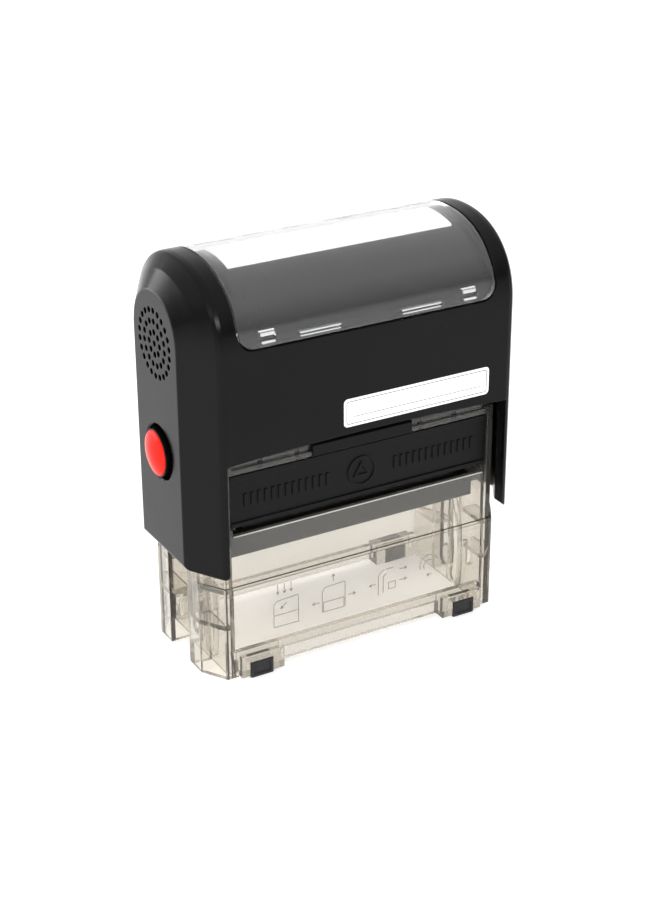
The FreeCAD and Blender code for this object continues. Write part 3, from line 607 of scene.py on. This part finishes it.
# ---------------------------------------------------------------- etched marks and label
def stroke(mesh, points, width, front_y, depth, closed=False):
    """A flat line of this width through (x, z) points on the plane y = front_y, with mitred corners."""
    count = len(points)
    sides = []
    for i, point in enumerate(points):
        here = Vector(point)
        before = Vector(points[i - 1]) if i > 0 or closed else None
        after = Vector(points[(i + 1) % count]) if i < count - 1 or closed else None
        ways = []
        if before is not None:
            ways.append((here - before).normalized())
        if after is not None:
            ways.append((after - here).normalized())
        way = sum(ways, Vector((0, 0)))
        way = way.normalized() if way.length > 1e-9 else ways[0]
        normal = Vector((-way.y, way.x))
        sharpest = 0.4      # keeps the mitre of a sharp corner from running out far
        stretch = 1.0 / max(sharpest, abs(normal.dot(Vector((-ways[0].y, ways[0].x)))))
        offset = normal * (width / 2 * stretch)
        sides.append((here + offset, here - offset))
    rows = []
    for left, right in sides:
        corners = [(left, front_y), (right, front_y), (right, front_y + depth), (left, front_y + depth)]
        rows.append([mesh.verts.new((p.x, y, p.y)) for p, y in corners])
    for corners in tube_between(rows, closed):
        mesh.faces.new(corners)
    if not closed:
        mesh.faces.new(rows[0])
        mesh.faces.new(list(reversed(rows[-1])))


def arc(cx, cz, radius, start, end, steps=8):
    """(x, z) points on an arc, angles in degrees."""
    angles = [math.radians(start + (end - start) * i / steps) for i in range(steps + 1)]
    return [(cx + radius * math.cos(a), cz + radius * math.sin(a)) for a in angles]


def moved(points, dx, dz, size=1.0):
    """The (x, z) points scaled and then moved."""
    return [(dx + size * x, dz + size * z) for x, z in points]


def arrow(x, z, turn, length=1.3):
    """Shaft and head of a small arrow that starts at (x, z) and points along the turn in degrees."""
    c, s = math.cos(math.radians(turn)), math.sin(math.radians(turn))
    head_length, head_half_width = 0.45, 0.3

    def at(along, across):
        return (x + along * c - across * s, z + along * s + across * c)

    neck = length - head_length
    return [[at(0, 0), at(length, 0)], [at(neck, head_half_width), at(length, 0), at(neck, -head_half_width)]]


def etched_marks():
    """Generic how-to drawings on the front of the base: the stamp's outline and arrows, with no lettering."""
    dome = arc(1.2, 3.9, 1.2, 180, 90, 5)
    outline = [(0.0, 0.0)] + [(0.0, 3.6)] + dome + [(4.6, 5.3), (4.8, 5.1), (4.8, 0.0)]
    drawer = [(0.25, 0.0), (4.55, 0.0), (4.55, 2.0), (0.25, 2.0)]
    square = [(0, 0), (1.4, 0), (1.4, 1.3), (0, 1.3), (0, 0)]
    lines = []
    # press down
    lines += [moved(outline + [outline[0]], -17.7, 8.0), moved([(0, 2.3), (4.8, 2.3)], -17.7, 8.0)]
    for x in (-16.9, -15.6, -14.3):
        lines += arrow(x, 16.2, -90, 1.8)
    lines += arrow(-15.2, 12.4, -140, 1.5)
    # pull out the drawer
    lines += [moved(outline[:-1], -8.2, 8.3, 0.95) + [(-3.64, 8.3)]]
    lines += [moved(drawer + [drawer[0]], -8.2, 8.3, 0.95)]
    lines += arrow(-8.7, 10.4, 180, 1.4) + arrow(-3.0, 10.4, 0, 1.4)
    lines += arrow(-6.0, 14.0, 90, 1.3)
    # slide it to and fro
    lines += [moved(arc(0, 0, 1.5, 100, 180, 6) + [(-1.5, -3.4)], 4.6, 11.8)]
    lines += [moved(arc(0, 0, 0.8, 100, 180, 5) + [(-0.8, -2.9)], 4.9, 11.6)]
    lines += [[(4.6, 13.3), (6.2, 13.3)], moved(square, 5.2, 9.2)]
    lines += arrow(2.6, 10.8, 180, 1.3) + arrow(7.4, 10.4, 0, 1.5) + arrow(7.4, 12.6, 0, 1.5)
    # turn it over
    lines += [moved(arc(0, 0, 1.9, 200, 20, 10), 13.6, 11.9), moved(arc(0, 0, 1.1, 210, -30, 10), 13.6, 11.7)]
    lines += arrow(16.4, 13.4, -90, 2.2) + arrow(14.2, 9.8, 180, 1.0)
    mesh = bmesh.new()
    wall_y, raised, thick, width = -12.6 * MM, 0.02 * MM, 0.03 * MM, 0.13 * MM
    for line in lines:
        points = [(x * MM, z * MM) for x, z in line]
        closed = points[0] == points[-1]
        stroke(mesh, points[:-1] if closed else points, width, wall_y - raised, thick, closed)
    bmesh.ops.recalc_face_normals(mesh, faces=mesh.faces)
    placed("how_to_marks", mesh, "base", "clear_base", "etched")


def rounded_rectangle(x0, x1, z0, z1, radius):
    """(x, z) points round a rectangle, anticlockwise from the middle of its right side."""
    left, right, low, high = x0 + radius, x1 - radius, z0 + radius, z1 - radius
    points = []
    for cx, cz, start in ((right, high, 0), (left, high, 90), (left, low, 180), (right, low, 270)):
        points += arc(cx, cz, radius, start, start + 90, 5)
    return points


def grown(rectangle, by):
    """An (x0, x1, z0, z1) rectangle made larger by this much on each side."""
    x0, x1, z0, z1 = rectangle
    return x0 - by, x1 + by, z0 - by, z1 + by


def name_label():
    """A blank write-on label on the front panel, with a thin frame and one ruled line."""
    low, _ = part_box("cover_shell")
    face_y = low.y
    place = (-5.4 * MM, 23.2 * MM, 43.9 * MM, 48.9 * MM)
    corner, bevel, raised, let_in = 0.7 * MM, 0.04 * MM, 0.05 * MM, 0.02 * MM
    front_points = rounded_rectangle(*place, corner)
    rim_points = rounded_rectangle(*grown(place, bevel), corner + bevel)
    sheet = bmesh.new()
    front = [sheet.verts.new((x, face_y - raised, z)) for x, z in front_points]
    rim = [sheet.verts.new((x, face_y + let_in, z)) for x, z in rim_points]
    sheet.faces.new(front)
    for corners in tube_between([front, rim], False):
        sheet.faces.new(corners)
    bmesh.ops.recalc_face_normals(sheet, faces=sheet.faces)
    placed("blank_label", sheet, "cover", "white_card", "label")
    ink_y, ink_depth = face_y - 0.065 * MM, 0.02 * MM
    frame_inset, frame_corner, frame_width = 0.5 * MM, 0.4 * MM, 0.12 * MM
    line_inset, line_height, line_width = 1.8 * MM, 1.7 * MM, 0.10 * MM
    marks = bmesh.new()
    border = rounded_rectangle(*grown(place, -frame_inset), frame_corner)
    stroke(marks, border, frame_width, ink_y, ink_depth, closed=True)
    x0, x1, z0 = place[:3]
    ruled = [(x0 + line_inset, z0 + line_height), (x1 - line_inset, z0 + line_height)]
    stroke(marks, ruled, line_width, ink_y, ink_depth)
    bmesh.ops.recalc_face_normals(marks, faces=marks.faces)
    placed("blank_label_lines", marks, "cover", "white_card", "label_line")


# ---------------------------------------------------------------- room
def floor():
    """A plain pale floor that reaches 4 m each way."""
    mesh = bpy.data.meshes.new("floor")
    grid = bmesh.new()
    bmesh.ops.create_grid(grid, x_segments=1, y_segments=1, size=4.0)
    grid.to_mesh(mesh)
    grid.free()
    obj = bpy.data.objects.new("floor", mesh)
    bpy.context.scene.collection.objects.link(obj)
    s = Shader("pale_floor")
    s.plain(Roughness=0.9, IOR=1.2, Emission_Strength=0.36)
    s.bsdf.inputs["Base Color"].default_value = (0.90, 0.90, 0.90, 1.0)
    s.bsdf.inputs["Emission Color"].default_value = WHITE
    mesh.materials.append(s.material)


def soft_lamp(name, place, target, size, watts):
    """A rectangular area lamp aimed at the target."""
    data = bpy.data.lights.new(name, "AREA")
    data.shape = "RECTANGLE"
    data.size, data.size_y = size
    data.energy = watts
    lamp = bpy.data.objects.new(name, data)
    lamp.location = place
    lamp.rotation_euler = (Vector(target) - Vector(place)).to_track_quat("-Z", "Y").to_euler()
    bpy.context.scene.collection.objects.link(lamp)


def sky():
    """A white studio sky with a darker grey band above the horizon, lower to the rear, for reflections.

    Seen directly, the sky is plain white.
    """
    band_starts, band_darkest, band_ends = 0.12, 0.24, 0.75
    band_grey = (0.32, 0.32, 0.33, 1.0)
    rear_lift = 1.5
    world = bpy.data.worlds.new("studio")
    world.use_nodes = True
    tree = world.node_tree
    background = tree.nodes["Background"]
    background.inputs["Strength"].default_value = 1.0
    direction = tree.nodes.new("ShaderNodeTexCoord")
    parts = tree.nodes.new("ShaderNodeSeparateXYZ")
    ramp = tree.nodes.new("ShaderNodeValToRGB")
    rearward = tree.nodes.new("ShaderNodeMath")
    height = tree.nodes.new("ShaderNodeMath")
    rearward.operation, height.operation = "MAXIMUM", "MULTIPLY_ADD"
    rearward.inputs[1].default_value, height.inputs[1].default_value = 0.0, rear_lift
    stops = ramp.color_ramp.elements
    stops[0].position, stops[0].color = band_starts, WHITE
    stops[1].position, stops[1].color = band_ends, WHITE
    stops.new(band_darkest).color = band_grey
    backdrop = tree.nodes.new("ShaderNodeMix")
    backdrop.data_type = "RGBA"
    backdrop.inputs[MIX_SECOND].default_value = WHITE
    path = tree.nodes.new("ShaderNodeLightPath")
    tree.links.new(direction.outputs["Generated"], parts.inputs[0])
    tree.links.new(parts.outputs["Y"], rearward.inputs[0])
    tree.links.new(rearward.outputs[0], height.inputs[0])
    tree.links.new(parts.outputs["Z"], height.inputs[2])
    tree.links.new(height.outputs[0], ramp.inputs["Fac"])
    tree.links.new(path.outputs["Is Camera Ray"], backdrop.inputs[MIX_FACTOR])
    tree.links.new(ramp.outputs["Color"], backdrop.inputs[MIX_FIRST])
    tree.links.new(backdrop.outputs[MIX_COLOUR], background.inputs["Color"])
    bpy.context.scene.world = world


def lights():
    """The sky and three small softboxes."""
    sky()
    middle = (0.0, 0.0, 0.04)
    left_shoulder = (-0.0275, -0.012, 0.065)
    soft_lamp("rear_left_softbox", (-0.30, 0.36, 0.12), middle, (0.30, 0.20), 0.8)
    soft_lamp("left_softbox", (-0.36, -0.19, 0.303), left_shoulder, (0.06, 0.06), 0.5)
    soft_lamp("front_softbox", (-0.039, -0.388, 0.3125), left_shoulder, (0.10, 0.10), 0.35)


def camera():
    """The camera at the photograph's viewing angle."""
    data = bpy.data.cameras.new("photo_camera")
    data.lens = 76.03
    data.sensor_width = 36.0
    data.clip_start = 0.01
    data.clip_end = 20.0
    obj = bpy.data.objects.new("photo_camera", data)
    place = Vector((-0.14862, -0.26202, 0.17451))
    aim = Vector((-0.00142, -0.00358, 0.03418))
    roll_degrees = -0.21
    turn = (aim - place).to_track_quat("-Z", "Y").to_matrix()
    roll = Matrix.Rotation(math.radians(roll_degrees), 3, "Z")
    obj.matrix_world = Matrix.Translation(place) @ (turn @ roll).to_4x4()
    bpy.context.scene.collection.objects.link(obj)
    bpy.context.scene.camera = obj


camera()
bpy.context.scene.view_settings.view_transform = "Standard"
dress_cad_nodes()
springs()
soft_pieces()
feet()
wall_edge()
tower_webs()
button_sleeves()
window_lips()
etched_marks()
name_label()
floor()
lights()
